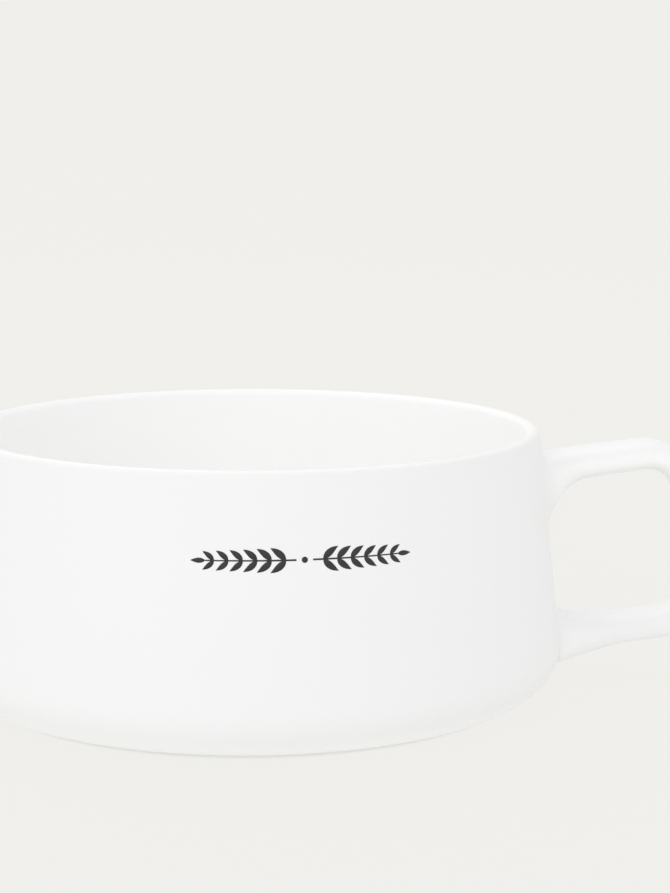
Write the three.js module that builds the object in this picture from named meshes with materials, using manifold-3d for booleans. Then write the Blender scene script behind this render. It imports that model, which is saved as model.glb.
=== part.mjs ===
// A wide porcelain mug: a cast cup, a cast strap handle and the two slip seams that hold the handle on.
// Millimetres, +Z up. The handle points along +X and the mug stands on the plane z = 0.

import * as THREE from "three";
import { mergeVertices } from "three/addons/utils/BufferGeometryUtils.js";
import Module from "manifold-3d";

// Cup, outside
const RIM_DIAMETER = 116; // across the outside of the lip
const HEIGHT = 53;
const WALL_LEAN = THREE.MathUtils.degToRad(6.3); // outwards on the way down
const HEEL_RADIUS = 8.5;

// Cup, inside
const LIP_THICKNESS = 2.6;
const WALL_THICKNESS = 3.6; // just above the heel
const FLOOR_THICKNESS = 4;
const INNER_HEEL_RADIUS = 9;

// Foot
const FOOT_INSET = 5; // from the heel's lowest line in to the ring
const FOOT_WIDTH = 3.6;
const FOOT_LIFT = 0.6; // daylight under the heel
const FOOT_EDGE_RADIUS = 0.5;
const RECESS_DEPTH = 1.8; // hollow under the floor, above the table

// Handle strap
const STRAP_THICKNESS = 6.1;
const STRAP_WIDTH = 12;
const STRAP_SQUARENESS = 2.5; // exponent of the section: 2 is an ellipse, more is squarer
const RIM_DROP = 6.5; // rim to the top of the strap's straight upper face, at the wall
const TABLE_CLEARANCE = 2.7; // table to the lowest point of the lower root
const FINGER_DEPTH = 28.3; // wall to the inner face of the grip
const INNER_CORNER_RADIUS = 6.5;

// Handle roots: how far each face spreads at the wall, and over what length
const BAR_TAPER = 1.2; // a bar's inner face, over the whole bar
const UPPER_ROOT_DROP = 7.2;
const UPPER_ROOT_DIP = 0.8; // the upper face sinks a little towards the wall
const UPPER_ROOT_LENGTH = 9.5;
const LOWER_ROOT_RISE = 1.6;
const LOWER_ROOT_DROP = 2;
const LOWER_ROOT_LENGTH = 15;
const UPPER_SIDE_SPREAD = 6.5;
const UPPER_SIDE_LENGTH = 9;
const LOWER_SIDE_SPREAD = 3;
const LOWER_SIDE_LENGTH = 6.5;

// Slip seams
const SLIP_THICKNESS = 1;
const SLIP_BEAD = 0.5; // how far the slip stands out round the handle's end
const SEAM_GAP = 0.3; // between pieces that touch

// Smoothness
const CUP_SEGMENTS = 80;
const SECTION_SIDES = 24;
const STEPS_PER_CORNER = 10;
const STEPS_PER_BAR = 10;
const ARC_STEP = THREE.MathUtils.degToRad(15);

const GLAZE = { color: 0xf5f5f3, roughness: 0.28, metalness: 0 };
const SLIP = { color: 0xf1f0ed, roughness: 0.4, metalness: 0 };

const QUARTER = Math.PI / 2;
const SAME_POINT = 1e-4;

const wasm = await Module();
wasm.setup();

// A closed three.js geometry as a solid that can be cut.
function toSolid(geometry) {
  const bare = geometry.clone();
  bare.deleteAttribute("normal");
  bare.deleteAttribute("uv");
  const merged = mergeVertices(bare, SAME_POINT);
  const vertProperties = new Float32Array(merged.attributes.position.array);
  const triVerts = new Uint32Array(merged.index.array);
  return new wasm.Manifold(new wasm.Mesh({ numProp: 3, vertProperties, triVerts }));
}

// The cut solid back as a three.js geometry.
function toGeometry(solid) {
  const mesh = solid.getMesh();
  const geometry = new THREE.BufferGeometry();
  geometry.setAttribute("position", new THREE.BufferAttribute(mesh.vertProperties, 3));
  geometry.setIndex(new THREE.BufferAttribute(mesh.triVerts, 1));
  geometry.computeVertexNormals();
  return geometry;
}

// Points on an arc of a profile, both ends included. Angles turn upwards from the outward direction.
function arc(centre, radius, from, to) {
  const steps = Math.max(2, Math.ceil(Math.abs(to - from) / ARC_STEP));
  return Array.from({ length: steps + 1 }, (_, i) => {
    const angle = from + ((to - from) * i) / steps;
    return new THREE.Vector2(centre.x + radius * Math.cos(angle), centre.y + radius * Math.sin(angle));
  });
}

// A profile in (radius, height), turned about +Z. Where two stretches meet, their shared point counts once.
function turn(profile) {
  const points = profile.filter((point, i) => i === 0 || point.distanceTo(profile[i - 1]) > SAME_POINT);
  return new THREE.LatheGeometry(points, CUP_SEGMENTS).rotateX(QUARTER);
}

// Outer profile of the cup

const outward = new THREE.Vector2(Math.cos(WALL_LEAN), Math.sin(WALL_LEAN)); // square to the wall
const lipRadius = LIP_THICKNESS / 2;
const lipCentre = new THREE.Vector2(RIM_DIAMETER / 2 - lipRadius, HEIGHT - lipRadius);
const wallTop = lipCentre.clone().addScaledVector(outward, lipRadius);

// The wall's outer radius at a height, on the straight part.
const wallRadius = (z) => wallTop.x + (wallTop.y - z) * Math.tan(WALL_LEAN);

// The heel arc touches the wall above and the underside below.
const heelCentreHeight = FOOT_LIFT + HEEL_RADIUS;
const heelTop = heelCentreHeight + HEEL_RADIUS * outward.y;
const heelCentre = new THREE.Vector2(wallRadius(heelTop) - HEEL_RADIUS * outward.x, heelCentreHeight);

// The cup's outside as a filled body, grown by an offset: what trims the handle and shapes the slip.
function cupEnvelope(offset) {
  const top = wallTop.clone().addScaledVector(outward, offset);
  const heel = arc(heelCentre, HEEL_RADIUS + offset, -QUARTER, WALL_LEAN);
  const bottom = new THREE.Vector2(0, heelCentreHeight - HEEL_RADIUS - offset);
  return toSolid(turn([bottom, ...heel, top, new THREE.Vector2(0, top.y)]));
}

// Cup

function cupBody() {
  const floor = RECESS_DEPTH + FLOOR_THICKNESS;
  const footOuter = heelCentre.x - FOOT_INSET;
  const footInner = footOuter - FOOT_WIDTH;
  const edge = Math.min(FOOT_EDGE_RADIUS, FOOT_LIFT);

  // The inner wall runs straight from the lip to where it has its full thickness, level with the heel's top.
  const innerTop = lipCentre.clone().addScaledVector(outward, -lipRadius);
  const wallFoot = new THREE.Vector2(wallRadius(heelTop), heelTop);
  const innerFoot = wallFoot.clone().addScaledVector(outward, -WALL_THICKNESS);
  const innerLean = Math.atan2(innerFoot.x - innerTop.x, innerTop.y - innerFoot.y);
  const innerRadius = (z) => innerTop.x + (innerTop.y - z) * Math.tan(innerLean);
  const innerHeelTop = floor + INNER_HEEL_RADIUS * (1 + Math.sin(innerLean));
  const innerHeel = new THREE.Vector2(
    innerRadius(innerHeelTop) - INNER_HEEL_RADIUS * Math.cos(innerLean),
    floor + INNER_HEEL_RADIUS,
  );

  const profile = [
    new THREE.Vector2(0, RECESS_DEPTH),
    new THREE.Vector2(footInner - RECESS_DEPTH, RECESS_DEPTH),
    ...arc(new THREE.Vector2(footInner + edge, edge), edge, -Math.PI, -QUARTER),
    ...arc(new THREE.Vector2(footOuter - edge, edge), edge, -QUARTER, 0),
    new THREE.Vector2(footOuter, FOOT_LIFT),
    ...arc(heelCentre, HEEL_RADIUS, -QUARTER, WALL_LEAN),
    ...arc(lipCentre, lipRadius, WALL_LEAN, QUARTER),
    ...arc(lipCentre, lipRadius, QUARTER, Math.PI + innerLean),
    ...arc(innerHeel, INNER_HEEL_RADIUS, innerLean, -QUARTER),
    new THREE.Vector2(0, floor),
  ];
  return turn(profile);
}

// Handle, in a frame on the wall: x square out of the wall, y up along it, z across the strap

const halfThickness = STRAP_THICKNESS / 2;
const upperHeight = HEIGHT - RIM_DROP - halfThickness;
const lowerHeight = TABLE_CLEARANCE + LOWER_ROOT_DROP + halfThickness;
const middleHeight = (upperHeight + lowerHeight) / 2;
const halfLoop = (upperHeight - lowerHeight) / 2 / Math.cos(WALL_LEAN);
const gripReach = FINGER_DEPTH + halfThickness;
const cornerRadius = INNER_CORNER_RADIUS + halfThickness;
const barLength = gripReach - cornerRadius; // the straight run from the wall to a corner
const rootDepth = HEEL_RADIUS; // how far the untrimmed ends run into the wall, past the curve of the heel
const trimOffset = SEAM_GAP + SLIP_THICKNESS + SEAM_GAP;

const handleFrame = new THREE.Group();
handleFrame.position.set(wallRadius(middleHeight), 0, middleHeight);
handleFrame.rotation.set(QUARTER, 0, WALL_LEAN);
handleFrame.updateMatrix();
const intoHandleFrame = handleFrame.matrix.clone().invert();

// What a root adds at a distance from the wall, steepest at the wall and none from the length on.
function flare(distance, amount, length, power = 2) {
  const left = Math.max(0, 1 - Math.max(0, distance) / length);
  return amount * left ** power;
}

// The same, but level at the wall and fading on both sides of it.
function swell(distance, amount, length) {
  return amount * (1 - THREE.MathUtils.smoothstep(Math.abs(distance), 0, length));
}

// Half of the strap's width near a root, which spreads in a round hollow.
function halfWidth(distance, spread, length) {
  return STRAP_WIDTH / 2 + flare(distance, spread, length, 3);
}

// How far the strap's outer, inner and side faces stand from its middle line, on each stretch of the loop.
const faceHeights = {
  upper: (x) => ({
    outer: halfThickness - flare(x, UPPER_ROOT_DIP, UPPER_ROOT_LENGTH),
    inner: halfThickness + flare(x, BAR_TAPER, barLength) + flare(x, UPPER_ROOT_DROP, UPPER_ROOT_LENGTH),
    side: halfWidth(x, UPPER_SIDE_SPREAD, UPPER_SIDE_LENGTH),
  }),
  grip: () => ({ outer: halfThickness, inner: halfThickness, side: STRAP_WIDTH / 2 }),
  lower: (x) => ({
    outer: halfThickness + swell(x, LOWER_ROOT_DROP, LOWER_ROOT_LENGTH),
    inner: halfThickness + flare(x, BAR_TAPER, barLength) + flare(x, LOWER_ROOT_RISE, LOWER_ROOT_LENGTH),
    side: halfWidth(x, LOWER_SIDE_SPREAD, LOWER_SIDE_LENGTH),
  }),
};

// A station of the strap: a place on its middle line, the outward direction there and its half sizes.
function station(x, y, angle, stretch) {
  return {
    place: new THREE.Vector2(x, y),
    out: new THREE.Vector2(Math.cos(angle), Math.sin(angle)),
    ...faceHeights[stretch](x),
  };
}

// One bar, in the loop's order: the upper one leaves the wall, the lower one runs into it.
// Its steps are closest near the wall, where its faces bend most.
function barStations(stretch) {
  const upper = stretch === "upper";
  const up = upper ? 1 : -1;
  const steps = Array.from({ length: STEPS_PER_BAR + 1 }, (_, i) => barLength * (i / STEPS_PER_BAR) ** 2);
  const distances = [-rootDepth, -rootDepth / 2, ...steps];
  const run = distances.map((x) => station(x, up * halfLoop, up * QUARTER, stretch));
  return upper ? run : run.reverse();
}

// One corner of the loop, in the loop's order: from the upper bar to the grip (up is 1), or from the grip to
// the lower bar (up is -1). The bars' own end stations close it.
function cornerStations(up) {
  return Array.from({ length: STEPS_PER_CORNER }, (_, i) => {
    const turned = (QUARTER * (up > 0 ? i + 1 : i)) / STEPS_PER_CORNER;
    const angle = up > 0 ? QUARTER - turned : -turned;
    const x = gripReach - cornerRadius + cornerRadius * Math.cos(angle);
    const y = up * (halfLoop - cornerRadius) + cornerRadius * Math.sin(angle);
    return station(x, y, angle, "grip");
  });
}

// A closed skin through the sections of the stations, grown all round by a margin.
function strap(stations, margin) {
  const power = 2 / STRAP_SQUARENESS;
  const bend = (value) => Math.sign(value) * Math.abs(value) ** power;
  const points = [];
  for (const { place, out, outer, inner, side } of stations) {
    for (let i = 0; i < SECTION_SIDES; i += 1) {
      const turnAngle = (2 * Math.PI * i) / SECTION_SIDES;
      const across = bend(Math.sin(turnAngle));
      const reach = across * ((across > 0 ? outer : inner) + margin);
      const sideways = bend(Math.cos(turnAngle)) * (side + margin);
      points.push(place.x + out.x * reach, place.y + out.y * reach, sideways);
    }
  }
  const firstCentre = points.length / 3;
  const lastCentre = firstCentre + 1;
  const first = stations[0].place;
  const last = stations[stations.length - 1].place;
  points.push(first.x, first.y, 0, last.x, last.y, 0);

  const faces = [];
  const lastRing = (stations.length - 1) * SECTION_SIDES;
  for (let i = 0; i < SECTION_SIDES; i += 1) {
    const next = (i + 1) % SECTION_SIDES;
    for (let ring = 0; ring < lastRing; ring += SECTION_SIDES) {
      const [a, b, c, d] = [ring + i, ring + next, ring + SECTION_SIDES + next, ring + SECTION_SIDES + i];
      faces.push(a, c, b, a, d, c);
    }
    faces.push(firstCentre, i, next, lastCentre, lastRing + next, lastRing + i);
  }
  const geometry = new THREE.BufferGeometry();
  geometry.setAttribute("position", new THREE.Float32BufferAttribute(points, 3));
  geometry.setIndex(faces);
  return toSolid(geometry);
}

// The cup's envelope, seen from the handle's frame.
const envelopeHere = (offset) => toSolid(toGeometry(cupEnvelope(offset)).applyMatrix4(intoHandleFrame));

function handle() {
  const corners = [...cornerStations(1), ...cornerStations(-1)];
  const loop = [...barStations("upper"), ...corners, ...barStations("lower")];
  return toGeometry(strap(loop, 0).subtract(envelopeHere(trimOffset)));
}

// A saddle of slip: the root's own section, a little fuller, in a thin layer along the wall.
function slipSeam(stretch) {
  const layer = envelopeHere(SEAM_GAP + SLIP_THICKNESS).subtract(envelopeHere(SEAM_GAP));
  return toGeometry(strap(barStations(stretch), SLIP_BEAD).intersect(layer));
}

// Assembly

function piece(name, geometry, finish) {
  const mesh = new THREE.Mesh(geometry, new THREE.MeshStandardMaterial(finish));
  mesh.name = name;
  return mesh;
}

handleFrame.add(
  piece("handle", handle(), GLAZE),
  piece("upper_slip_seam", slipSeam("upper"), SLIP),
  piece("lower_slip_seam", slipSeam("lower"), SLIP),
);

const cup = new THREE.Group();
cup.add(piece("cup_body", cupBody(), GLAZE), handleFrame);

// The part's origin is the middle of its footprint, at the table.
const box = new THREE.Box3().setFromObject(cup, true);
const middle = box.getCenter(new THREE.Vector3());
cup.position.set(-middle.x, -middle.y, -box.min.z);

const mug = new THREE.Group();
mug.add(cup);

export default mug;
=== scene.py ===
"""A wide porcelain mug: the cast cup, the strap handle, the two luted seams and a small printed sprig.

Lengths are in metres in the part's own frame: +X runs from the cup to the handle, +Z is up, and the mug
stands on z = 0.
"""

import logging
import math
from dataclasses import dataclass, field, replace
from enum import Enum
from typing import Sequence

import bpy
import numpy as np
from mathutils import Matrix, Vector


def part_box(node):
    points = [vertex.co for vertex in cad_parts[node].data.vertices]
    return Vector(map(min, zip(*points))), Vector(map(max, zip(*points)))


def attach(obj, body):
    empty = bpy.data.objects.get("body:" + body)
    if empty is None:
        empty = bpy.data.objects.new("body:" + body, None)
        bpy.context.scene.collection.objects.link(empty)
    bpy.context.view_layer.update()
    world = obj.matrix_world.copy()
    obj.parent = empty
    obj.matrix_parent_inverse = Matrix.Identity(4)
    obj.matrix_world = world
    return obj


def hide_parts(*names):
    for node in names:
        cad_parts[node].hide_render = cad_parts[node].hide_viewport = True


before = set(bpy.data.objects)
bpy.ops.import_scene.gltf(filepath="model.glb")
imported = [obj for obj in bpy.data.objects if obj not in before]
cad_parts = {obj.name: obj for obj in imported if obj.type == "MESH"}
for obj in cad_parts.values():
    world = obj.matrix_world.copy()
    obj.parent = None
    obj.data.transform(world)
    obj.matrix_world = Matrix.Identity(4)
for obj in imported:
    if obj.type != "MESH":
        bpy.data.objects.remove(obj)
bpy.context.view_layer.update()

LOG = logging.getLogger("mug")
MM = 0.001
QUARTER = math.pi / 2
BODY = "root"
DEPTH_LAYER = "glaze_depth"
# Name of the layer that holds the share of painted light on each point.
PAINTED_LIGHT_LAYER = "painted_light"
CLOUD_DETAIL = 3.0
RIPPLE_DETAIL = 1.0
GRAIN_DETAIL = 2.0

Face = tuple[int, ...]
Colour = tuple[float, float, float, float]
Piece = bpy.types.Object
Material = bpy.types.Material
Tree = bpy.types.NodeTree
Socket = bpy.types.NodeSocket


class Zone(Enum):
    """Which finish a face of the cup carries."""

    GLAZED = 0
    BARE = 1


class Root(Enum):
    """An end of the handle; the value is its side of the loop's middle, up or down."""

    UPPER = 1
    LOWER = -1


def screen_colour(red: int, green: int, blue: int) -> Colour:
    """Turn a colour as a screen shows it into the linear colour that shaders take.

    Args:
        red: Red, from 0 to 255.
        green: Green, from 0 to 255.
        blue: Blue, from 0 to 255.

    Returns:
        The linear colour, opaque.
    """
    linear = []
    for level in (red, green, blue):
        share = level / 255
        linear.append(share / 12.92 if share <= 0.04045 else ((share + 0.055) / 1.055) ** 2.4)
    return (linear[0], linear[1], linear[2], 1.0)


# Mesh helpers


def arc(centre: Sequence[float], radius: float, start: float, end: float, steps: int) -> np.ndarray:
    """Points on an arc of an outline.

    Args:
        centre: Middle of the arc, as (radius, height).
        radius: Radius of the arc.
        start: First angle, turning upwards from the outward direction.
        end: Last angle.
        steps: Number of equal steps.

    Returns:
        An array of steps + 1 points, both ends included.
    """
    angles = np.linspace(start, end, steps + 1)
    return np.c_[centre[0] + radius * np.cos(angles), centre[1] + radius * np.sin(angles)]


def tube_faces(rows: int, columns: int) -> list[Face]:
    """Quads between neighbouring rows of a tube whose columns close on themselves.

    Args:
        rows: Number of rows along the tube.
        columns: Number of points round it.

    Returns:
        The faces, pointing out where rows and columns turn right-handed about the outside.
    """
    faces = []
    for row in range(rows - 1):
        for column in range(columns):
            beside = (column + 1) % columns
            low, high = row * columns, (row + 1) * columns
            faces.append((low + column, low + beside, high + beside, high + column))
    return faces


def fan_faces(first: int, columns: int, centre: int, reverse: bool) -> list[Face]:
    """Triangles that close an end of a tube.

    Args:
        first: Index of the end row's first point.
        columns: Number of points in the row.
        centre: Index of the point in the middle of the end.
        reverse: Whether the triangles turn against the row.

    Returns:
        The triangles.
    """
    faces = []
    for column in range(columns):
        here, beside = first + column, first + (column + 1) % columns
        faces.append((beside, here, centre) if reverse else (here, beside, centre))
    return faces


def grid_normals(grid: np.ndarray) -> np.ndarray:
    """Unit normals of a tube given as rows of points.

    Args:
        grid: Points as an array of rows, columns and coordinates.

    Returns:
        One normal for each point, out of the tube where rows and columns turn right-handed.
    """
    along = np.gradient(grid, axis=0)
    around = np.roll(grid, -1, axis=1) - np.roll(grid, 1, axis=1)
    normals = np.cross(around, along)
    return normals / np.linalg.norm(normals, axis=2, keepdims=True)


def make_piece(
    name: str, points: np.ndarray, faces: list[Face], normals: np.ndarray | None = None
) -> Piece:
    """Make a smooth mesh object.

    Args:
        name: Name of the piece.
        points: Its points.
        faces: Its faces.
        normals: A normal for each point that shading keeps, or None to work them out.

    Returns:
        The object, in the scene.
    """
    mesh = bpy.data.meshes.new(name)
    mesh.from_pydata(points.tolist(), [], faces)
    mesh.validate()
    mesh.shade_smooth()
    if normals is not None:
        mesh.normals_split_custom_set_from_vertices(normals.tolist())
    piece = bpy.data.objects.new(name, mesh)
    bpy.context.scene.collection.objects.link(piece)
    return piece


def store_layer(piece: Piece, name: str, values: np.ndarray) -> None:
    """Store a number for each point of a piece, for its finish to read.

    Args:
        piece: The piece.
        name: Name of the layer.
        values: One number for each point.
    """
    layer = piece.data.attributes.new(name, "FLOAT", "POINT")
    layer.data.foreach_set("value", values.astype(np.float32))


def glaze_depth(piece: Piece, full_bend: float = 300.0) -> np.ndarray:
    """How deep the glaze lies: it runs off edges and gathers in hollows before it sets.

    Args:
        piece: The piece.
        full_bend: Bend, in radians per metre, at which the glaze is thinnest or deepest.

    Returns:
        A number for each point, from -1 on a sharp edge to 1 in a tight hollow.
    """
    mesh = piece.data
    points = np.array([vertex.co for vertex in mesh.vertices])
    normals = np.array([vertex.normal for vertex in mesh.vertices])
    edges = np.array([edge.vertices for edge in mesh.edges])
    both = np.r_[edges, edges[:, ::-1]]
    step = points[both[:, 1]] - points[both[:, 0]]
    bend = 2 * np.sum(step * normals[both[:, 0]], axis=1) / np.sum(step * step, axis=1)
    total = np.bincount(both[:, 0], bend, len(points))
    count = np.bincount(both[:, 0], minlength=len(points))
    return np.clip(total / np.maximum(count, 1) / full_bend, -1, 1)


# Finishes


class Wiring:
    """Adds nodes to one node tree and joins them."""

    def __init__(self, tree: Tree) -> None:
        """Keep the tree that the nodes go into."""
        self.tree = tree

    def node(self, kind: str, **settings: object) -> bpy.types.Node:
        """Add a node.

        Args:
            kind: Blender's name for the node.
            **settings: Properties of the node, by name.

        Returns:
            The node.
        """
        made = self.tree.nodes.new(kind)
        for key, value in settings.items():
            setattr(made, key, value)
        return made

    def join(self, source: Socket, target: Socket) -> None:
        """Link an output to an input."""
        self.tree.links.new(source, target)

    def sum(self, operation: str, *terms: Socket | float) -> Socket:
        """Add a maths node.

        Args:
            operation: Blender's name for the operation.
            *terms: Sockets or plain numbers, in order.

        Returns:
            The result's socket.
        """
        made = self.node("ShaderNodeMath", operation=operation)
        for slot, term in zip(made.inputs, terms):
            if isinstance(term, (int, float)):
                slot.default_value = term
            else:
                self.join(term, slot)
        return made.outputs[0]

    def blend(self, share: Socket, first: Socket, second: Socket) -> Socket:
        """Add a colour mix.

        Args:
            share: How much of the second colour shows.
            first: The first colour.
            second: The second colour.

        Returns:
            The mixed colour's socket.
        """
        made = self.node("ShaderNodeMix", data_type="RGBA")
        self.join(share, made.inputs["Factor"])
        self.join(first, made.inputs["A"])
        self.join(second, made.inputs["B"])
        return made.outputs["Result"]

    def noise(self, place: Socket, scale: Socket, detail: float) -> Socket:
        """Add a noise pattern.

        Args:
            place: Where on the piece.
            scale: How many waves to a metre.
            detail: How many finer layers.

        Returns:
            The noise's socket, from 0 to 1.
        """
        made = self.node("ShaderNodeTexNoise")
        made.inputs["Detail"].default_value = detail
        self.join(place, made.inputs["Vector"])
        self.join(scale, made.inputs["Scale"])
        return made.outputs["Fac"]

    def group(self, tree: Tree, values: dict[str, Colour | float]) -> bpy.types.Node:
        """Place a node group with its own values.

        Args:
            tree: The group's tree.
            values: What its inputs are set to, by name.

        Returns:
            The group's node.
        """
        made = self.node("ShaderNodeGroup", node_tree=tree)
        for label, value in values.items():
            made.inputs[label].default_value = value
        return made


def group_tree(name: str, inputs: dict[str, str], outputs: dict[str, str]) -> Tree:
    """Start a node group.

    Args:
        name: Name of the group.
        inputs: Kind of each input socket, by name.
        outputs: Kind of each output socket, by name.

    Returns:
        The group's tree.
    """
    tree = bpy.data.node_groups.new(name, "ShaderNodeTree")
    for side, sockets in (("INPUT", inputs), ("OUTPUT", outputs)):
        for label, kind in sockets.items():
            tree.interface.new_socket(label, in_out=side, socket_type=kind)
    return tree


def fired_tone_group() -> Tree:
    """Colour of a fired surface: faintly cloudy, shifted where the glaze is thin or deep, and lightened by
    painted light where a piece carries it.

    Returns:
        The node group.
    """
    colours = {label: "NodeSocketColor" for label in ("Body", "Thin", "Deep", "Painted Lit")}
    numbers = {label: "NodeSocketFloat" for label in ("Depth", "Coat", "Cloud", "Cloud Scale")}
    tree = group_tree("fired_tone", colours | numbers, {"Color": "NodeSocketColor"})
    wire = Wiring(tree)
    given = wire.node("NodeGroupInput").outputs
    place = wire.node("ShaderNodeTexCoord").outputs["Object"]
    thin = wire.sum("MAXIMUM", wire.sum("MULTIPLY", given["Depth"], -1.0), 0.0)
    deep = wire.sum("MAXIMUM", given["Depth"], 0.0)
    tone = wire.blend(thin, given["Body"], given["Thin"])
    tone = wire.blend(deep, tone, given["Deep"])
    # Painted light: blend towards the lighter colour by the share of painted light on the point.
    tone = wire.blend(given["Coat"], tone, given["Painted Lit"])
    swing = wire.sum("SUBTRACT", wire.noise(place, given["Cloud Scale"], CLOUD_DETAIL), 0.5)
    level = wire.sum("MULTIPLY_ADD", swing, given["Cloud"], 1.0)
    shade = wire.node("ShaderNodeVectorMath", operation="SCALE")
    wire.join(tone, shade.inputs[0])
    wire.join(level, shade.inputs["Scale"])
    wire.join(shade.outputs[0], wire.node("NodeGroupOutput").inputs["Color"])
    return tree


def fired_skin_group() -> Tree:
    """Skin of a fired surface: slow ripples of the glaze, fine grain, and gloss that drifts with the
    ripples.

    Returns:
        The node group.
    """
    labels = ("Roughness", "Drift", "Ripple Scale", "Grain Scale", "Grain")
    tree = group_tree(
        "fired_skin",
        {label: "NodeSocketFloat" for label in labels},
        {"Roughness": "NodeSocketFloat", "Height": "NodeSocketFloat"},
    )
    wire = Wiring(tree)
    given = wire.node("NodeGroupInput").outputs
    place = wire.node("ShaderNodeTexCoord").outputs["Object"]
    ripple = wire.noise(place, given["Ripple Scale"], RIPPLE_DETAIL)
    grain = wire.noise(place, given["Grain Scale"], GRAIN_DETAIL)
    out = wire.node("NodeGroupOutput").inputs
    drift = wire.sum("MULTIPLY", wire.sum("SUBTRACT", ripple, 0.5), given["Drift"])
    wire.join(wire.sum("ADD", given["Roughness"], drift), out["Roughness"])
    wire.join(wire.sum("MULTIPLY_ADD", grain, given["Grain"], ripple), out["Height"])
    return tree


@dataclass(frozen=True)
class FiredFinish:
    """A fired surface, glazed, bare or printed."""

    name: str
    body: Colour
    thin: Colour
    deep: Colour
    # Lighter colour that painted light lays on where it lifts the shade.
    painted_lit: Colour
    roughness: float
    drift: float
    cloud: float
    grain: float
    relief: float
    cloud_scale: float = 28.0
    ripple_scale: float = 420.0
    grain_scale: float = 3200.0

    def material(self, tone: Tree, skin: Tree) -> Material:
        """Build the material.

        Args:
            tone: The colour group.
            skin: The skin group.

        Returns:
            The material.
        """
        material = bpy.data.materials.new(self.name)
        material.use_nodes = True
        wire = Wiring(material.node_tree)
        shader = material.node_tree.nodes["Principled BSDF"]
        glazes = {"Body": self.body, "Thin": self.thin, "Deep": self.deep, "Painted Lit": self.painted_lit}
        colour = wire.group(tone, glazes | {"Cloud": self.cloud, "Cloud Scale": self.cloud_scale})
        # One layer holds the glaze's depth, the other the share of painted light.
        for label, layer in (("Depth", DEPTH_LAYER), ("Coat", PAINTED_LIGHT_LAYER)):
            read = wire.node("ShaderNodeAttribute", attribute_name=layer)
            wire.join(read.outputs["Fac"], colour.inputs[label])
        gloss = {"Roughness": self.roughness, "Drift": self.drift, "Ripple Scale": self.ripple_scale}
        surface = wire.group(skin, gloss | {"Grain": self.grain, "Grain Scale": self.grain_scale})
        bump = wire.node("ShaderNodeBump")
        bump.inputs["Distance"].default_value = self.relief
        wire.join(surface.outputs["Height"], bump.inputs["Height"])
        wire.join(colour.outputs["Color"], shader.inputs["Base Color"])
        wire.join(surface.outputs["Roughness"], shader.inputs["Roughness"])
        wire.join(bump.outputs["Normal"], shader.inputs["Normal"])
        return material


WHITE_GLAZE = FiredFinish(
    name="white_glaze",
    body=screen_colour(247, 247, 247),
    thin=screen_colour(246, 246, 245),
    deep=screen_colour(246, 246, 246),
    # Painted light: this lighter colour lifts the inside of the cup, the low heel and the handle.
    painted_lit=screen_colour(254, 254, 253),
    roughness=0.44,
    drift=0.06,
    cloud=0.012,
    grain=0.06,
    relief=0.008 * MM,
)
# Painted shade: a darker copy of the white glaze for the handle, which painted light lightens again on
# upright faces and roots.
SHADED_HANDLE_GLAZE = replace(
    WHITE_GLAZE,
    name="handle_glaze",
    body=screen_colour(244, 244, 244),
    thin=screen_colour(243, 243, 242),
)
BARE_BISCUIT = FiredFinish(
    name="bare_biscuit",
    body=screen_colour(231, 227, 219),
    thin=screen_colour(236, 233, 227),
    deep=screen_colour(222, 217, 208),
    painted_lit=screen_colour(231, 227, 219),
    roughness=0.72,
    drift=0.1,
    cloud=0.05,
    grain=1.5,
    relief=0.03 * MM,
)
BLACK_INK = FiredFinish(
    name="black_ink",
    body=screen_colour(40, 40, 42),
    thin=screen_colour(44, 44, 46),
    deep=screen_colour(36, 36, 38),
    painted_lit=screen_colour(40, 40, 42),
    roughness=0.38,
    drift=0.08,
    cloud=0.15,
    grain=0.3,
    relief=0.006 * MM,
    cloud_scale=600.0,
)


@dataclass(frozen=True)
class FinishSet:
    """The materials of the mug."""

    glaze: Material
    # The handle's glaze is a darker copy of the white glaze, with painted shade.
    handle_glaze: Material
    biscuit: Material
    ink: Material

    @classmethod
    def build(cls) -> "FinishSet":
        """Build the shared node groups and each material once.

        Returns:
            The materials.
        """
        tone, skin = fired_tone_group(), fired_skin_group()
        finishes = (WHITE_GLAZE, SHADED_HANDLE_GLAZE, BARE_BISCUIT, BLACK_INK)
        return cls(*(finish.material(tone, skin) for finish in finishes))


# Pieces


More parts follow.
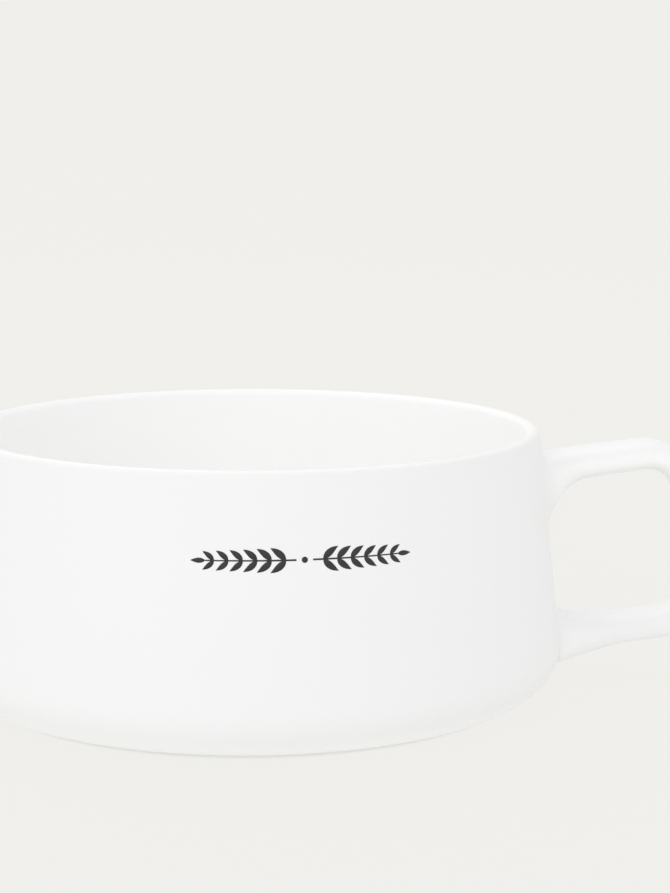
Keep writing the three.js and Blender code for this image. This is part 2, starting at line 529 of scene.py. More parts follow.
@dataclass(frozen=True)
class CupForm:
    """The cup's outline, which the cup, the handle's roots and the print all follow."""

    axis_x: float
    height: float
    rim_radius: float = 58.0 * MM
    wall_lean: float = math.radians(6.3)
    heel_radius: float = 8.5 * MM
    heel_lift: float = 0.6 * MM
    lip_radius: float = 1.3 * MM

    @property
    def outward(self) -> np.ndarray:
        """Direction square to the wall, as (radius, height)."""
        return np.array([math.cos(self.wall_lean), math.sin(self.wall_lean)])

    @property
    def lip_centre(self) -> np.ndarray:
        """Middle of the rounded lip."""
        return np.array([self.rim_radius - self.lip_radius, self.height - self.lip_radius])

    @property
    def heel_top(self) -> float:
        """Height at which the straight wall ends and the heel begins."""
        return self.heel_lift + self.heel_radius * (1 + self.outward[1])

    @property
    def heel_centre(self) -> np.ndarray:
        """Middle of the heel's arc."""
        radius = float(self.wall_radius(self.heel_top)) - self.heel_radius * self.outward[0]
        return np.array([radius, self.heel_lift + self.heel_radius])

    def wall_radius(self, height: float | np.ndarray) -> float | np.ndarray:
        """Outer radius of the straight wall.

        Args:
            height: Height above the table.

        Returns:
            The radius there.
        """
        top = self.lip_centre + self.lip_radius * self.outward
        return top[0] + (top[1] - height) * math.tan(self.wall_lean)

    def clearance(self, points: np.ndarray) -> np.ndarray:
        """How far points stand out from the wall and the heel.

        Args:
            points: Points in the part's frame, coordinates last.

        Returns:
            The distances, below zero inside the cup's outline.
        """
        radius = np.hypot(points[..., 0] - self.axis_x, points[..., 1])
        height = points[..., 2]
        centre = self.heel_centre
        to_wall = (radius - self.wall_radius(height)) * self.outward[0]
        to_heel = np.hypot(radius - centre[0], height - centre[1]) - self.heel_radius
        angle = np.arctan2(height - centre[1], radius - centre[0])
        return np.where(angle > self.wall_lean, to_wall, to_heel)

    def on_wall(self, azimuth: np.ndarray, height: np.ndarray, lift: float) -> np.ndarray:
        """Points on the wall or a little off it.

        Args:
            azimuth: Angles round the cup, from the handle.
            height: Heights above the table.
            lift: Distance off the wall, square to it.

        Returns:
            The points in the part's frame.
        """
        radius = self.wall_radius(height) + lift * self.outward[0]
        across = self.axis_x + radius * np.cos(azimuth)
        return np.stack([across, radius * np.sin(azimuth), height + lift * self.outward[1]], axis=-1)


@dataclass(frozen=True)
class Stretch:
    """A stretch of the cup's outline: its points as (radius, height), its finish and its share of painted
    light.
    """

    points: np.ndarray
    zone: Zone = Zone.GLAZED
    light_share: float = 0.0


@dataclass
class CupBody:
    """The cast cup: wall, rounded lip, floor, heel and foot ring in one turned shell."""

    form: CupForm
    wall_thickness: float = 3.6 * MM
    floor_thickness: float = 4.0 * MM
    inner_heel_radius: float = 9.0 * MM
    foot_inset: float = 5.0 * MM
    foot_width: float = 3.6 * MM
    foot_edge_radius: float = 0.5 * MM
    recess_depth: float = 1.8 * MM
    # Painted light: how it fades out at the lip, and where it lightens the heel against the contact shade.
    lining_light_fade: float = 0.6 * MM
    heel_light_top: float = 5.0 * MM
    heel_light_run: float = 3.0 * MM
    columns: int = 256
    wall_rows: int = 14
    floor_rows: int = 10
    ledge_rows: int = 6
    bevel_rows: int = 5
    edge_steps: int = 6
    heel_steps: int = 28
    lip_steps: int = 8
    hollow_steps: int = 24

    def outline(self) -> tuple[np.ndarray, np.ndarray, np.ndarray]:
        """The turned outline, from the middle of the underside over the lip to the middle of the floor.

        Painted light lightens the inside against the shade of the hollow, fading out at the lip,
        and lightens the heel low down against the shade at the contact.

        Returns:
            Points as (radius, height), the zone of the stretch after each, and the share of painted light.
        """
        form = self.form
        floor = self.recess_depth + self.floor_thickness
        foot_outer = form.heel_centre[0] - self.foot_inset
        foot_inner = foot_outer - self.foot_width
        edge = self.foot_edge_radius
        inner_top = form.lip_centre - form.lip_radius * form.outward
        wall_foot = np.array([float(form.wall_radius(form.heel_top)), form.heel_top])
        inner_foot = wall_foot - self.wall_thickness * form.outward
        lean = math.atan2(inner_foot[0] - inner_top[0], inner_top[1] - inner_foot[1])
        turn_height = floor + self.inner_heel_radius * (1 + math.sin(lean))
        turn_radius = inner_top[0] + (inner_top[1] - turn_height) * math.tan(lean)
        turn_inset = self.inner_heel_radius * math.cos(lean)
        inner_heel = (turn_radius - turn_inset, floor + self.inner_heel_radius)

        recess_edge = np.array([foot_inner - self.recess_depth, self.recess_depth])
        inner_edge = arc((foot_inner + edge, edge), edge, -math.pi, -QUARTER, self.edge_steps)
        outer_edge = arc((foot_outer - edge, edge), edge, -QUARTER, 0.0, self.edge_steps)
        heel = arc(form.heel_centre, form.heel_radius, -QUARTER, form.wall_lean, self.heel_steps)
        lip_outside = arc(form.lip_centre, form.lip_radius, form.wall_lean, QUARTER, self.lip_steps)
        lip_inside = arc(form.lip_centre, form.lip_radius, QUARTER, math.pi + lean, self.lip_steps)
        hollow = arc(inner_heel, self.inner_heel_radius, lean, -QUARTER, self.hollow_steps)
        ledge = (foot_outer, form.heel_lift)
        stretches = [
            Stretch(np.linspace((0.0, self.recess_depth), recess_edge, self.floor_rows)),
            Stretch(np.linspace(recess_edge, inner_edge[0], self.bevel_rows)[1:-1]),
            Stretch(inner_edge, Zone.BARE),
            Stretch(outer_edge[:-1], Zone.BARE),
            Stretch(np.array([outer_edge[-1], ledge])),
            Stretch(np.linspace(ledge, heel[0], self.ledge_rows)[1:]),
            Stretch(heel[1:]),
            Stretch(np.linspace(heel[-1], lip_outside[0], self.wall_rows)[1:]),
            Stretch(lip_outside[1:]),
            # Painted light over the whole inside, from the lip down to the floor.
            Stretch(lip_inside[1:], light_share=1.0),
            Stretch(np.linspace(lip_inside[-1], hollow[0], self.wall_rows)[1:], light_share=1.0),
            Stretch(hollow[1:], light_share=1.0),
            Stretch(np.linspace(hollow[-1], (0.0, floor), self.floor_rows)[1:], light_share=1.0),
        ]
        points = np.concatenate([stretch.points for stretch in stretches])
        zones = np.concatenate([np.full(len(stretch.points), stretch.zone.value) for stretch in stretches])
        light_share = np.concatenate([np.full(len(stretch.points), stretch.light_share) for stretch in stretches])
        fade = np.clip((form.height - points[:, 1]) / self.lining_light_fade, 0, 1)
        # Painted light low on the heel, where the contact would shade it.
        heel_light = np.clip((self.heel_light_top - points[:, 1]) / self.heel_light_run, 0, 1)
        return points, zones, np.maximum(light_share * fade, heel_light)

    def build(self) -> Piece:
        """Turn the outline about the cup's axis.

        Returns:
            The cup, with the glaze's depth and the share of painted light stored on its points.
        """
        points, zones, light_share = self.outline()
        turns = np.arange(self.columns) * (2 * math.pi / self.columns)
        rings = points[1:-1]
        across = self.form.axis_x + rings[:, :1] * np.cos(turns)
        side = rings[:, :1] * np.sin(turns)
        up = np.repeat(rings[:, 1:], self.columns, axis=1)
        skin = np.stack([across, side, up], axis=-1).reshape(-1, 3)
        ends = [(self.form.axis_x, 0.0, points[0, 1]), (self.form.axis_x, 0.0, points[-1, 1])]
        under, floor = len(skin), len(skin) + 1
        last = (len(rings) - 1) * self.columns
        faces = tube_faces(len(rings), self.columns)
        faces += fan_faces(0, self.columns, under, reverse=True)
        faces += fan_faces(last, self.columns, floor, reverse=False)
        piece = make_piece("cup_body_glazed", np.r_[skin, ends], faces)
        row_zones = np.repeat(zones[1:-2], self.columns)
        zone_of_face = np.r_[row_zones, np.full(2 * self.columns, Zone.GLAZED.value)]
        piece.data.polygons.foreach_set("material_index", zone_of_face.astype(np.int32))
        store_layer(piece, DEPTH_LAYER, glaze_depth(piece))
        store_layer(piece, PAINTED_LIGHT_LAYER, np.r_[np.repeat(light_share[1:-1], self.columns), light_share[0], light_share[-1]])
        return piece

    def dress(self, finishes: FinishSet) -> Piece:
        """Build the cup, glaze it all over but under the foot ring, and set it in the frame.

        Args:
            finishes: The mug's materials.

        Returns:
            The dressed cup.
        """
        piece = self.build()
        piece.data.materials.append(finishes.glaze)
        piece.data.materials.append(finishes.biscuit)
        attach(piece, BODY)
        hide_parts("cup_body")
        return piece


@dataclass
class StrapHandle:
    """The strap handle, a rounded square loop, with a seam of luting slip at each end.

    The loop lies in a frame on the wall: x square out of the wall, y up along it and z across the strap.
    """

    form: CupForm
    thickness: float = 6.1 * MM
    width: float = 12.0 * MM
    squareness: float = 2.5
    rim_drop: float = 6.5 * MM
    table_clearance: float = 2.7 * MM
    finger_depth: float = 28.3 * MM
    inner_corner_radius: float = 6.5 * MM
    bar_taper: float = 1.2 * MM
    upper_root_drop: float = 7.2 * MM
    upper_root_dip: float = 0.8 * MM
    upper_root_length: float = 9.5 * MM
    lower_root_rise: float = 1.6 * MM
    lower_root_drop: float = 2.0 * MM
    lower_root_length: float = 15.0 * MM
    upper_side_spread: float = 7.2 * MM
    upper_side_length: float = 11.5 * MM
    lower_side_spread: float = 3.4 * MM
    lower_side_length: float = 8.0 * MM
    side_power: float = 4.0
    seam_height: float = 1.6 * MM
    fillet_radius: float = 1.4 * MM
    seat_depth: float = 0.25 * MM
    # Painted light on the handle: more on the upper bar than the lower, most on the roots, the cup's tone
    # at the wall.
    upper_light: float = 0.95
    lower_light: float = 0.2
    root_light: float = 0.95
    root_run: float = 12.0 * MM
    wall_light: float = 0.29
    wall_run: float = 3.5 * MM
    columns: int = 72
    bar_rows: int = 40
    corner_rows: int = 20
    grip_rows: int = 12
    fillet_rows: int = 12
    row_crowding: float = 1.4
    section_samples: int = 4001
    halvings: int = 40
    section: np.ndarray = field(init=False)

    def __post_init__(self) -> None:
        """Space the section's angles so that its points lie evenly round the strap."""
        fine = np.linspace(0.0, 2 * math.pi, self.section_samples)
        edge = np.c_[self.soften(np.cos(fine)) * self.width, self.soften(np.sin(fine)) * self.thickness]
        run = np.r_[0.0, np.cumsum(np.linalg.norm(np.diff(edge, axis=0), axis=1))]
        even = np.linspace(0.0, run[-1], self.columns, endpoint=False)
        self.section = np.interp(even, run, fine)

    @property
    def half_thickness(self) -> float:
        """Half of the strap's thickness."""
        return self.thickness / 2

    @property
    def bar_heights(self) -> tuple[float, float]:
        """Heights at which the middle lines of the upper and the lower bar leave the wall."""
        upper = self.form.height - self.rim_drop - self.half_thickness
        lower = self.table_clearance + self.lower_root_drop + self.half_thickness
        return upper, lower

    @property
    def half_loop(self) -> float:
        """Half of the distance between the bars' middle lines, along the wall."""
        upper, lower = self.bar_heights
        return (upper - lower) / 2 / math.cos(self.form.wall_lean)

    @property
    def corner_radius(self) -> float:
        """Radius of the middle line at the loop's corners."""
        return self.inner_corner_radius + self.half_thickness

    @property
    def bar_length(self) -> float:
        """Straight run from the wall to a corner."""
        return self.finger_depth + self.half_thickness - self.corner_radius

    def soften(self, value: np.ndarray) -> np.ndarray:
        """Bend a sine or cosine into the strap's rounded-square section."""
        return np.sign(value) * np.abs(value) ** (2 / self.squareness)

    @staticmethod
    def flare(distance: np.ndarray, amount: float, length: float, power: float = 2.0) -> np.ndarray:
        """What a root adds near the wall, steepest at the wall.

        Args:
            distance: Distances from the wall.
            amount: What is added at the wall.
            length: Where it ends.
            power: How sharply it rises towards the wall.

        Returns:
            The added sizes.
        """
        left = np.clip(1 - np.maximum(distance, 0) / length, 0, 1)
        return amount * left**power

    @staticmethod
    def swell(distance: np.ndarray, amount: float, length: float) -> np.ndarray:
        """What a root adds near the wall, level at the wall.

        Args:
            distance: Distances from the wall.
            amount: What is added at the wall.
            length: Where it ends.

        Returns:
            The added sizes.
        """
        share = np.clip(np.abs(distance) / length, 0, 1)
        return amount * (1 - share * share * (3 - 2 * share))

    def to_part(self, x: np.ndarray, y: np.ndarray, z: np.ndarray) -> np.ndarray:
        """Take points from the loop's frame to the part's frame.

        Args:
            x: Distances out of the wall.
            y: Distances up along the wall from the loop's middle.
            z: Distances across the strap.

        Returns:
            The points, coordinates last.
        """
        lean = self.form.wall_lean
        middle = sum(self.bar_heights) / 2
        foot = self.form.axis_x + float(self.form.wall_radius(middle))
        across = foot + x * math.cos(lean) - y * math.sin(lean)
        up = middle + x * math.sin(lean) + y * math.cos(lean)
        return np.stack([across, -z, up], axis=-1)

    def bar_points(self, root: Root, x: np.ndarray, margin: float) -> np.ndarray:
        """One row of points round a bar.

        Args:
            root: Which bar.
            x: Distance out of the wall, for each column.
            margin: How much fuller than the strap the row is.

        Returns:
            The points in the part's frame.
        """
        half = self.half_thickness
        taper = self.flare(x, self.bar_taper, self.bar_length)
        if root is Root.UPPER:
            outer = half - self.flare(x, self.upper_root_dip, self.upper_root_length)
            inner = half + taper + self.flare(x, self.upper_root_drop, self.upper_root_length)
            spread, length = self.upper_side_spread, self.upper_side_length
        else:
            outer = half + self.swell(x, self.lower_root_drop, self.lower_root_length)
            inner = half + taper + self.flare(x, self.lower_root_rise, self.lower_root_length)
            spread, length = self.lower_side_spread, self.lower_side_length
        across, beside = self.soften(np.sin(self.section)), self.soften(np.cos(self.section))
        fall = (beside * (self.width / 2 + spread)) ** 2 / (2 * self.form.rim_radius)
        side = self.width / 2 + self.flare(x + fall, spread, length, self.side_power)
        reach = across * (np.where(across > 0, outer, inner) + margin)
        y = root.value * (self.half_loop + reach)
        return self.to_part(x, y, beside * (side + margin))

    def reach_wall(self, root: Root, clearance: float, margin: float) -> np.ndarray:
        """Where each line of a bar comes to a given distance from the wall.

        Args:
            root: Which bar.
            clearance: The distance from the wall or the heel.
            margin: How much fuller than the strap the row is.

        Returns:
            The distance out of the wall, for each column, along the bar.
        """
        low = np.full(self.columns, -self.form.heel_radius)
        high = np.full(self.columns, self.bar_length)
        for _ in range(self.halvings):
            middle = (low + high) / 2
            outside = self.form.clearance(self.bar_points(root, middle, margin)) > clearance
            high = np.where(outside, middle, high)
            low = np.where(outside, low, middle)
        return (low + high) / 2

    def seam_rows(self, root: Root) -> list[np.ndarray]:
        """Rows of a seam, from under the cup's glaze, over a small hollow fillet, to the handle's end.

        Args:
            root: Which end of the handle.

        Returns:
            The rows, from the wall outwards.
        """
        steps = [(-self.seat_depth, self.fillet_radius)]
        for angle in np.linspace(QUARTER, 0.0, self.fillet_rows + 1):
            clearance = self.fillet_radius * (1 - math.sin(angle))
            steps.append((clearance, self.fillet_radius * (1 - math.cos(angle))))
        steps.append((self.seam_height, 0.0))
        return [self.bar_points(root, self.reach_wall(root, *step), step[1]) for step in steps]

    def bar_rows_from(self, root: Root) -> list[np.ndarray]:
        """Rows of a bar past its seam, from the wall outwards.

        Args:
            root: Which bar.

        Returns:
            The rows, up to the corner.
        """
        start = self.reach_wall(root, self.seam_height, 0.0)
        shares = np.linspace(0.0, 1.0, self.bar_rows + 1)[1:] ** self.row_crowding
        return [self.bar_points(root, start + (self.bar_length - start) * share, 0.0) for share in shares]

    def loop_row(self, x: float, y: float, angle: float) -> np.ndarray:
        """One row round the plain strap.

        Args:
            x: Place of the middle line, out of the wall.
            y: Place of the middle line, up along the wall.
            angle: Outward direction of the loop there.

        Returns:
            The points in the part's frame.
        """
        reach = self.soften(np.sin(self.section)) * self.half_thickness
        side = self.soften(np.cos(self.section)) * self.width / 2
        return self.to_part(x + reach * math.cos(angle), y + reach * math.sin(angle), side)

    def corner_loop(self, y: float, angles: np.ndarray) -> list[np.ndarray]:
        """Rows round a corner of the loop.

        Args:
            y: Place of the corner's middle, up along the wall.
            angles: Outward direction of the loop at each row.

        Returns:
            The rows.
        """
        rows = []
        for angle in angles:
            x = self.bar_length + self.corner_radius * math.cos(angle)
            rows.append(self.loop_row(x, y + self.corner_radius * math.sin(angle), angle))
        return rows

    def grip_loop(self) -> list[np.ndarray]:
        """Rows from the end of the upper bar round the grip to the end of the lower bar.

        Returns:
            The rows, without the bars' own last rows.
        """
        middle = self.half_loop - self.corner_radius
        across = self.bar_length + self.corner_radius
        rows = self.corner_loop(middle, np.linspace(QUARTER, 0.0, self.corner_rows + 1)[1:])
        for y in np.linspace(middle, -middle, self.grip_rows + 1)[1:]:
            rows.append(self.loop_row(across, y, 0.0))
        return rows + self.corner_loop(-middle, np.linspace(0.0, -QUARTER, self.corner_rows + 1)[1:-1])

    def build(self) -> dict[str, Piece]:
        """Build the seams and the handle as one run of rows, cut apart where they meet.

        Returns:
            The three pieces by the name of the node that each stands for.
        """
        upper_seam, lower_seam = self.seam_rows(Root.UPPER), self.seam_rows(Root.LOWER)[::-1]
        bars = self.bar_rows_from(Root.UPPER), self.bar_rows_from(Root.LOWER)[::-1]
        grid = np.array([*upper_seam, *bars[0], *self.grip_loop(), *bars[1], *lower_seam])
        normals = grid_normals(grid)
        first, second = len(upper_seam) - 1, len(grid) - len(lower_seam)
        cuts = {
            "upper_slip_seam": slice(0, first + 1),
            "handle": slice(first, second + 1),
            "lower_slip_seam": slice(second, len(grid)),
        }
        pieces = {}
        for node, cut in cuts.items():
            pieces[node] = self.closed_tube(f"{node}_glazed", grid[cut], normals[cut])
        return pieces

    def painted_light(self, points: np.ndarray, facing: np.ndarray) -> np.ndarray:
        """How much painted light the handle carries: it grows up the handle, and the lower bar keeps
        painted shade.

        At the wall it has the cup's own tone. Painted light is strong on the roots, where it lifts the
        shade of the crease, and weaker on level faces, weakest on those that look down, which keep painted
        shade.

        Args:
            points: Points of the handle or of a seam.
            facing: Their normals.

        Returns:
            A number for each point, from 0 to 1.
        """
        upper, lower = self.bar_heights
        rise = np.clip((points[:, 2] - lower) / (upper - lower), 0, 1)
        clearance = self.form.clearance(points)
        past_root = np.clip(clearance / self.root_run, 0, 1)
        past_wall = np.clip(clearance / self.wall_run, 0, 1)
        # Painted light grows from the lower bar to the upper; the lower bar keeps painted shade.
        bar_light = self.lower_light + (self.upper_light - self.lower_light) * rise
        light_share = self.root_light + (bar_light - self.root_light) * past_root
        # Painted shade on level faces, and most on those that look down: less painted light there.
        upright = (1 - facing[:, 2] ** 2) ** 2 * (1 + np.minimum(facing[:, 2], 0))
        return self.wall_light + (light_share * upright - self.wall_light) * past_wall

    def closed_tube(self, name: str, rows: np.ndarray, normals: np.ndarray) -> Piece:
        """Make one stretch of the strap, closed at both ends.

        Args:
            name: Name of the piece.
            rows: Its rows of points.
            normals: Their normals.

        Returns:
            The piece, with the glaze's depth and the share of painted light stored on its points.
        """
        middles = np.array([rows[0].mean(axis=0), rows[-1].mean(axis=0)])
        end_normals = np.array([rows[0] - rows[1], rows[-1] - rows[-2]]).mean(axis=1)
        end_normals /= np.linalg.norm(end_normals, axis=1, keepdims=True)
        count = len(rows) * self.columns
        faces = tube_faces(len(rows), self.columns)
        faces += fan_faces(0, self.columns, count, reverse=True)
        faces += fan_faces(count - self.columns, self.columns, count + 1, reverse=False)
        points = np.r_[rows.reshape(-1, 3), middles]
        facing = np.r_[normals.reshape(-1, 3), end_normals]
        piece = make_piece(name, points, faces, facing)
        store_layer(piece, DEPTH_LAYER, glaze_depth(piece))
        store_layer(piece, PAINTED_LIGHT_LAYER, self.painted_light(points, facing))
        return piece

    def dress(self, finishes: FinishSet) -> list[Piece]:
        """Build and glaze the handle and its seams, and set them in the frame.

        Args:
            finishes: The mug's materials.

        Returns:
            The dressed pieces.
        """
        pieces = self.build()
        for node, piece in pieces.items():
            # Painted shade: the handle and seams take the darker handle glaze, lightened by painted light.
            piece.data.materials.append(finishes.handle_glaze)
            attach(piece, BODY)
            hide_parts(node)
        return list(pieces.values())


@dataclass
class SprigPrint:
    """A small printed ornament on the wall: two leafy sprigs that grow apart from a berry.

    It is drawn on the unrolled wall: s runs round the cup to the right, t runs up.
    """

    form: CupForm
    azimuth: float = math.radians(-86.0)
    height: float = 37.4 * MM
    stem_start: float = 1.5 * MM
    stem_length: float = 16.2 * MM
    stem_half_width: float = 0.16 * MM
    stem_tip_share: float = 0.7
    leaf_pairs: int = 6
    first_leaf: float = 1.9 * MM
    leaf_spacing: float = 2.55 * MM
    leaf_length: float = 3.5 * MM
    leaf_half_width: float = 0.62 * MM
    leaf_belly: float = 0.8
    leaf_plumpness: float = 0.85
    leaf_angle: float = math.radians(52.0)
    leaf_curl: float = math.radians(26.0)
    outer_leaf_share: float = 0.74
    berry_radius: float = 0.55 * MM
    tip_half_width: float = 0.04 * MM
    film: float = 0.03 * MM
    seat_depth: float = 0.05 * MM
    steps: int = 12
    points: list[np.ndarray] = field(default_factory=list)
    faces: list[Face] = field(default_factory=list)

    def ribbon(self, line: np.ndarray, half_widths: np.ndarray) -> None:
        """Lay a closed film along a line on the wall.

        Args:
            line: Points of the line, as (s, t).
            half_widths: Half of the film's width at each point.
        """
        along = np.gradient(line, axis=0)
        along /= np.linalg.norm(along, axis=1, keepdims=True)
        beside = np.c_[-along[:, 1], along[:, 0]] * half_widths[:, None]
        section = []
        for edge, lift in ((-1, self.film), (1, self.film), (1, -self.seat_depth), (-1, -self.seat_depth)):
            place = line + edge * beside
            turn = self.azimuth + place[:, 0] / float(self.form.wall_radius(self.height))
            rise = self.height + place[:, 1] * math.cos(self.form.wall_lean)
            section.append(self.form.on_wall(turn, rise, lift))
        rows = np.stack(section, axis=1)
        start = sum(len(part) for part in self.points)
        corners = rows.shape[1]
        last = start + (len(rows) - 1) * corners
        self.faces += [tuple(start + index for index in face) for face in tube_faces(len(rows), corners)]
        self.faces.append(tuple(start + corner for corner in reversed(range(corners))))
        self.faces.append(tuple(last + corner for corner in range(corners)))
        self.points.append(rows.reshape(-1, 3))

    def leaf(self, s: float, t: float, heading: float, curl: float, size: float) -> None:
        """Lay one pointed leaf.

        Args:
            s: Where its stalk starts, round the cup.
            t: Where its stalk starts, up the wall.
            heading: Direction of the stalk, from the right.
            curl: How far the leaf turns along its length.
            size: Its size as a share of the largest leaf.
        """
        shares = np.linspace(0.0, 1.0, self.steps + 1)
        step = self.leaf_length * size / self.steps
        headings = heading + curl * (shares[:-1] + 0.5 / self.steps)
        moves = step * np.c_[np.cos(headings), np.sin(headings)]
        line = np.r_[[(s, t)], (s, t) + np.cumsum(moves, axis=0)]
        plump = np.sin(math.pi * shares**self.leaf_belly) ** self.leaf_plumpness
        self.ribbon(line, np.maximum(self.leaf_half_width * size * plump, self.tip_half_width))

    def sprig(self, side: int) -> None:
        """Lay one sprig: a stem, its pairs of leaves and the leaf at its tip.

        Args:
            side: 1 to grow to the right, -1 to the left.
        """
        forward = 0.0 if side > 0 else math.pi
        stem = np.linspace(self.stem_start, self.stem_start + self.stem_length, 2 * self.steps)
        taper = np.linspace(1.0, self.stem_tip_share, len(stem))
        self.ribbon(np.c_[side * stem, np.zeros(len(stem))], self.stem_half_width * taper)
        for pair in range(self.leaf_pairs):
            share = pair / (self.leaf_pairs - 1)
            size = 1 + (self.outer_leaf_share - 1) * share
            start = side * (self.stem_start + self.first_leaf + self.leaf_spacing * pair)
            for up in (1, -1):
                turn = up * side
                heading = forward + turn * self.leaf_angle
                self.leaf(start, 0.0, heading, -turn * self.leaf_curl, size)
        self.leaf(side * stem[-1], 0.0, forward, 0.0, self.outer_leaf_share)

    def berry(self) -> None:
        """Lay the round berry between the sprigs."""
        angles = np.linspace(0.0, math.pi, 2 * self.steps + 1)
        line = np.c_[-self.berry_radius * np.cos(angles), np.zeros(len(angles))]
        self.ribbon(line, np.maximum(self.berry_radius * np.sin(angles), self.tip_half_width))

    def dress(self, finishes: FinishSet) -> Piece:
        """Lay the whole ornament, ink it and set it in the frame.

        Args:
            finishes: The mug's materials.

        Returns:
            The print.
        """
        for side in (1, -1):
            self.sprig(side)
        self.berry()
        piece = make_piece("sprig_print", np.concatenate(self.points), self.faces)
        piece.data.materials.append(finishes.ink)
        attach(piece, BODY)
        return piece


# Stage


@dataclass(frozen=True)
class Softbox:
    """A square softbox: where it hangs, the length of a side and its power in watts."""

    name: str
    place: tuple[float, float, float]
    power: float
    size: float = 1.0

    def hang(self, target: Vector) -> None:
        """Hang the softbox so that it faces a point.

        Args:
            target: The point.
        """
        lamp = bpy.data.lights.new(self.name, "AREA")
        lamp.size = self.size
        lamp.energy = self.power
        light = bpy.data.objects.new(self.name, lamp)
        light.location = self.place
        aim = target - light.location
        light.rotation_euler = aim.to_track_quat("-Z", "Y").to_euler()
        bpy.context.scene.collection.objects.link(light)


SOFTBOXES = (
    Softbox("key_softbox", (-1.2, -0.9, 0.9), 1.9),
    Softbox("front_softbox", (-0.2, -1.5, 0.9), 2.1),
    Softbox("back_softbox", (-0.3, 0.9, 1.3), 3.8, size=1.2),
)


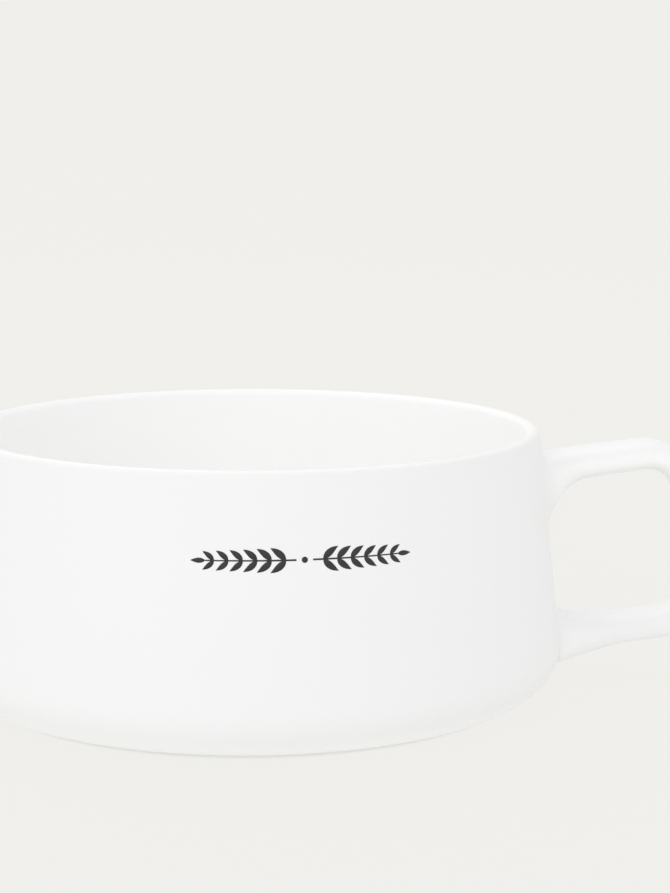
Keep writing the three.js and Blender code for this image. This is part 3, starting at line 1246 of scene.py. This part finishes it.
@dataclass
class Studio:
    """A pale sweep, soft light and the camera."""

    form: CupForm
    paper: Colour = screen_colour(240, 239, 235)
    paper_glow: float = 0.93
    table_glow: float = 0.72
    contact_reach: float = 0.7 * MM
    contact_depth: float = 14.0
    bounce: Colour = screen_colour(243, 243, 241)
    sky: Colour = (0.985, 0.985, 1.0, 1.0)
    sky_strength: float = 0.89
    half_width: float = 2.0
    front: float = -1.8
    bend_start: float = 1.3
    bend_radius: float = 0.6
    bend_steps: int = 24
    wall_height: float = 1.6
    below: float = 0.05 * MM
    picture_height: float = 893.0
    focal_length: float = 2200.0
    sensor: float = 36.0
    camera_distance: float = 440.3 * MM
    camera_height: float = 116.9 * MM
    camera_bearing: float = math.radians(-95.0)
    camera_swing: float = math.radians(2.19)
    camera_tilt: float = math.radians(8.82)
    camera_roll: float = math.radians(0.21)
    nearest: float = 10.0 * MM

    def show_flat(self, wire: Wiring) -> Socket:
        """A mask for rays that show a surface to the eye: straight, mirrored or through glass.

        Args:
            wire: The tree that the mask goes into.

        Returns:
            The mask's socket.
        """
        path = wire.node("ShaderNodeLightPath").outputs
        shown = wire.sum("MAXIMUM", path["Is Camera Ray"], path["Is Glossy Ray"])
        return wire.sum("MAXIMUM", shown, path["Is Transmission Ray"])

    def sweep(self) -> Piece:
        """Make the paper sweep: a floor that bends up into a wall behind the mug.

        Returns:
            The sweep.
        """
        bend = arc((self.bend_start, self.bend_radius), self.bend_radius, -QUARTER, 0.0, self.bend_steps)
        line = np.r_[[(self.front, 0.0)], bend, [(self.bend_start + self.bend_radius, self.wall_height)]]
        points = [(x, y, z - self.below) for y, z in line for x in (-self.half_width, self.half_width)]
        faces = [(2 * i, 2 * i + 1, 2 * i + 3, 2 * i + 2) for i in range(len(line) - 1)]
        piece = make_piece("paper_sweep", np.array(points), faces)
        piece.data.materials.append(self.paper_material())
        return piece

    def paper_material(self) -> Material:
        """Pale paper, lit from within, that takes the mug's shadow and can be seen through from below.

        The shade at the contact is for rays that show the paper, so that the paper still lights the foot.

        Returns:
            The material.
        """
        material = bpy.data.materials.new("pale_paper")
        material.use_nodes = True
        nodes = material.node_tree.nodes
        wire = Wiring(material.node_tree)
        shader = nodes["Principled BSDF"]
        shader.inputs["Base Color"].default_value = self.bounce
        shader.inputs["Roughness"].default_value = 1.0
        shader.inputs["Specular IOR Level"].default_value = 0.0
        shown = self.show_flat(wire)
        tint = wire.node("ShaderNodeMix", data_type="RGBA")
        tint.inputs["A"].default_value = self.bounce
        tint.inputs["B"].default_value = self.paper
        wire.join(shown, tint.inputs["Factor"])
        glow = wire.node("ShaderNodeEmission")
        wire.join(tint.outputs["Result"], glow.inputs["Color"])
        mix = wire.node("ShaderNodeMixShader")
        share = wire.sum("MULTIPLY_ADD", shown, self.paper_glow - self.table_glow, self.table_glow)
        contact = wire.node("ShaderNodeAmbientOcclusion")
        contact.inputs["Distance"].default_value = self.contact_reach
        depth = wire.sum("MULTIPLY", shown, self.contact_depth)
        open_sky = wire.sum("POWER", contact.outputs["AO"], depth)
        wire.join(wire.sum("MULTIPLY", share, open_sky), mix.inputs[0])
        wire.join(shader.outputs[0], mix.inputs[1])
        wire.join(glow.outputs[0], mix.inputs[2])
        one_way = wire.node("ShaderNodeMixShader")
        wire.join(wire.node("ShaderNodeNewGeometry").outputs["Backfacing"], one_way.inputs[0])
        wire.join(mix.outputs[0], one_way.inputs[1])
        wire.join(wire.node("ShaderNodeBsdfTransparent").outputs[0], one_way.inputs[2])
        wire.join(one_way.outputs[0], nodes["Material Output"].inputs["Surface"])
        return material

    def world(self) -> None:
        """Light the mug evenly from all round, and show the paper's colour past the sweep."""
        world = bpy.data.worlds.new("studio")
        world.use_nodes = True
        bpy.context.scene.world = world
        nodes = world.node_tree.nodes
        wire = Wiring(world.node_tree)
        light = nodes["Background"]
        light.inputs["Color"].default_value = self.sky
        light.inputs["Strength"].default_value = self.sky_strength
        flat = wire.node("ShaderNodeBackground")
        flat.inputs["Color"].default_value = self.paper
        mix = wire.node("ShaderNodeMixShader")
        wire.join(self.show_flat(wire), mix.inputs[0])
        wire.join(light.outputs[0], mix.inputs[1])
        wire.join(flat.outputs[0], mix.inputs[2])
        wire.join(mix.outputs[0], nodes["World Output"].inputs["Surface"])

    def camera(self) -> None:
        """Set the camera at the photograph's view."""
        lens = bpy.data.cameras.new("camera")
        lens.sensor_width = self.sensor
        lens.lens = self.sensor * self.focal_length / self.picture_height
        lens.clip_start = self.nearest
        camera = bpy.data.objects.new("camera", lens)
        bpy.context.scene.collection.objects.link(camera)
        bpy.context.scene.camera = camera
        away = Vector((math.cos(self.camera_bearing), math.sin(self.camera_bearing), 0.0))
        place = away * self.camera_distance + Vector((self.form.axis_x, 0.0, self.camera_height))
        heading = self.camera_bearing + math.pi - self.camera_swing
        level = Vector((math.cos(heading), math.sin(heading), 0.0))
        look = level * math.cos(self.camera_tilt) - Vector((0.0, 0.0, math.sin(self.camera_tilt)))
        right = Vector((math.sin(heading), -math.cos(heading), 0.0))
        upright = Matrix((right, right.cross(look), -look)).transposed()
        turned = upright @ Matrix.Rotation(self.camera_roll, 3, "Z")
        camera.matrix_world = Matrix.Translation(place) @ turned.to_4x4()

    def build(self) -> None:
        """Put up the sweep, the light and the camera."""
        self.sweep()
        self.world()
        for softbox in SOFTBOXES:
            softbox.hang(Vector((self.form.axis_x, 0.0, self.form.height / 2)))
        self.camera()
        bpy.context.scene.view_settings.view_transform = "Standard"


def main() -> None:
    """Build the mug and the studio."""
    logging.basicConfig(level=logging.INFO, format="%(message)s")
    low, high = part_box("cup_body")
    form = CupForm(axis_x=(low.x + high.x) / 2, height=high.z)
    finishes = FinishSet.build()
    pieces = [CupBody(form).dress(finishes)]
    pieces += StrapHandle(form).dress(finishes)
    pieces.append(SprigPrint(form).dress(finishes))
    Studio(form).build()
    for piece in pieces:
        LOG.info("%s: %d points", piece.name, len(piece.data.vertices))


if __name__ == "__main__":
    main()
